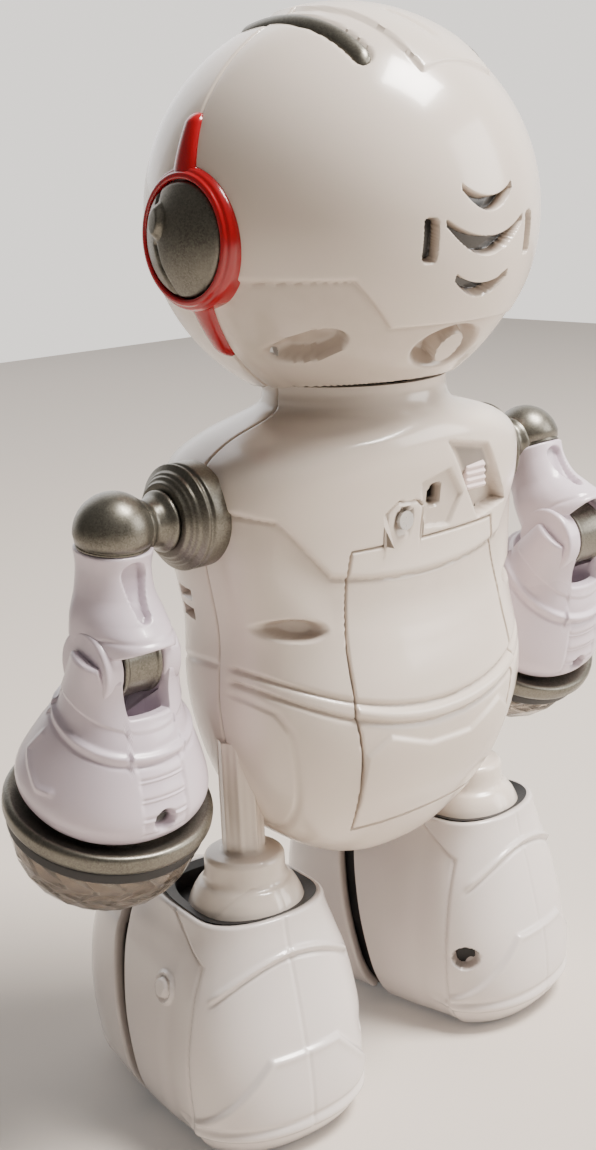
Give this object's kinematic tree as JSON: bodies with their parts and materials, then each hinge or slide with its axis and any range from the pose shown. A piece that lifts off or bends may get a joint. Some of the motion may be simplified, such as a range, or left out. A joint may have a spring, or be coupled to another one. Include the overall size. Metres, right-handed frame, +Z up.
{
  "type": "toy robot",
  "caption": "Toy robot with a turning head, swinging arms that bend at the elbow, light-up hands and boots that roll on wheels.",
  "frame": {"origin": "on the floor, midway between the ankles", "axes": "+Z up, the robot faces -Y, its own left side is +X"},
  "size_m": [0.1878, 0.1055, 0.2645],
  "materials": {
    "ivory_plastic": "glossy ivory ABS",
    "lavender_plastic": "glossy lavender-white ABS",
    "gunmetal_plastic": "silver-olive flake paint on plastic, satin",
    "red_plastic": "glossy red ABS",
    "black_plastic": "matt black plastic",
    "visor_plastic": "polished black",
    "eye_plastic": "glossy tinted lens",
    "trim_plastic": "pale pink-white switch cap",
    "clear_plastic": "clear smoky moulded plastic",
    "steel": "bright screw steel",
    "cell_can": "printed cell can, plain",
    "motor_can": "plated motor can",
    "board": "green circuit board",
    "tyre_rubber": "soft black tread"
  },
  "bodies": {
    "robot_body": {"torso_rear_shell": "ivory_plastic", "torso_front_shell": "ivory_plastic", "battery_cover": "ivory_plastic", "chest_panel": "red_plastic", "battery_tray": "black_plastic", "power_switch_body": "black_plastic", "battery_cover_screw": "steel", "torso_screw_left": "steel", "torso_screw_right": "steel", "battery_cell_1": "cell_can", "battery_cell_2": "cell_can", "battery_cell_3": "cell_can", "main_circuit_board": "board", "shoulder_flange_left": "gunmetal_plastic", "foot_chassis_left": "black_plastic", "leg_left": "ivory_plastic", "foot_rear_shell_left": "ivory_plastic", "foot_toe_shell_left": "ivory_plastic", "drive_motor_left": "motor_can", "shoulder_flange_right": "gunmetal_plastic", "foot_chassis_right": "black_plastic", "leg_right": "ivory_plastic", "foot_rear_shell_right": "ivory_plastic", "foot_toe_shell_right": "ivory_plastic", "drive_motor_right": "motor_can"},
    "head": {"head_rear_shell": "ivory_plastic", "head_front_shell": "ivory_plastic", "face_visor": "visor_plastic", "head_speaker": "black_plastic", "neck_axle": "black_plastic", "eye_light_left": "eye_plastic", "eye_light_right": "eye_plastic", "crest_bar_left": "gunmetal_plastic", "crest_bar_right": "gunmetal_plastic", "ear_ring_left": "red_plastic", "ear_ring_right": "red_plastic", "ear_cap_left": "gunmetal_plastic", "ear_cap_right": "gunmetal_plastic", "head_screw_left": "steel", "head_screw_right": "steel"},
    "power_switch": {"power_switch_slider": "trim_plastic"},
    "arm_left": {"shoulder_dome_left": "gunmetal_plastic", "upper_arm_left": "lavender_plastic", "arm_screw_left": "steel"},
    "forearm_left": {"forearm_left": "lavender_plastic", "elbow_barrel_left": "gunmetal_plastic", "hand_ring_left": "gunmetal_plastic", "hand_band_left": "black_plastic", "light_dome_left": "clear_plastic"},
    "wheel_left": {"drive_wheel_left": "tyre_rubber"},
    "arm_right": {"shoulder_dome_right": "gunmetal_plastic", "upper_arm_right": "lavender_plastic", "arm_screw_right": "steel"},
    "forearm_right": {"forearm_right": "lavender_plastic", "elbow_barrel_right": "gunmetal_plastic", "hand_ring_right": "gunmetal_plastic", "hand_band_right": "black_plastic", "light_dome_right": "clear_plastic"},
    "wheel_right": {"drive_wheel_right": "tyre_rubber"}
  },
  "joints": [
    {"name": "head_turn", "type": "hinge", "parent": "robot_body", "child": "head", "pos_m": [0, 0, 0.176], "axis": [0, 0, 1], "range_deg": [-90, 90]},
    {"name": "power_switch_slide", "type": "slide", "parent": "robot_body", "child": "power_switch", "axis": [0, 0, 1], "range_m": [-0.004, 0]},
    {"name": "shoulder_swing_left", "type": "hinge", "parent": "robot_body", "child": "arm_left", "pos_m": [0.0696, -0.005, 0.151], "axis": [1, 0, 0], "range_deg": [-112, 68]},
    {"name": "shoulder_swing_right", "type": "hinge", "parent": "robot_body", "child": "arm_right", "pos_m": [-0.0696, -0.005, 0.151], "axis": [1, 0, 0], "range_deg": [-142, 38]},
    {"name": "elbow_bend_left", "type": "hinge", "parent": "arm_left", "child": "forearm_left", "pos_m": [0.0696, -0.00503, 0.12202], "axis": [1, 0, 0], "range_deg": [-50.5, 9.5]},
    {"name": "elbow_bend_right", "type": "hinge", "parent": "arm_right", "child": "forearm_right", "pos_m": [-0.0696, 0.00946, 0.12589], "axis": [1, 0, 0], "range_deg": [-2, 58]},
    {"name": "wheel_spin_left", "type": "hinge", "parent": "robot_body", "child": "wheel_left", "pos_m": [0.04011, 0.00196, 0.009], "axis": [0.9925, -0.1219, 0], "continuous": true},
    {"name": "wheel_spin_right", "type": "hinge", "parent": "robot_body", "child": "wheel_right", "pos_m": [-0.04011, 0.00196, 0.009], "axis": [0.9925, 0.1219, 0], "continuous": true}
  ]
}
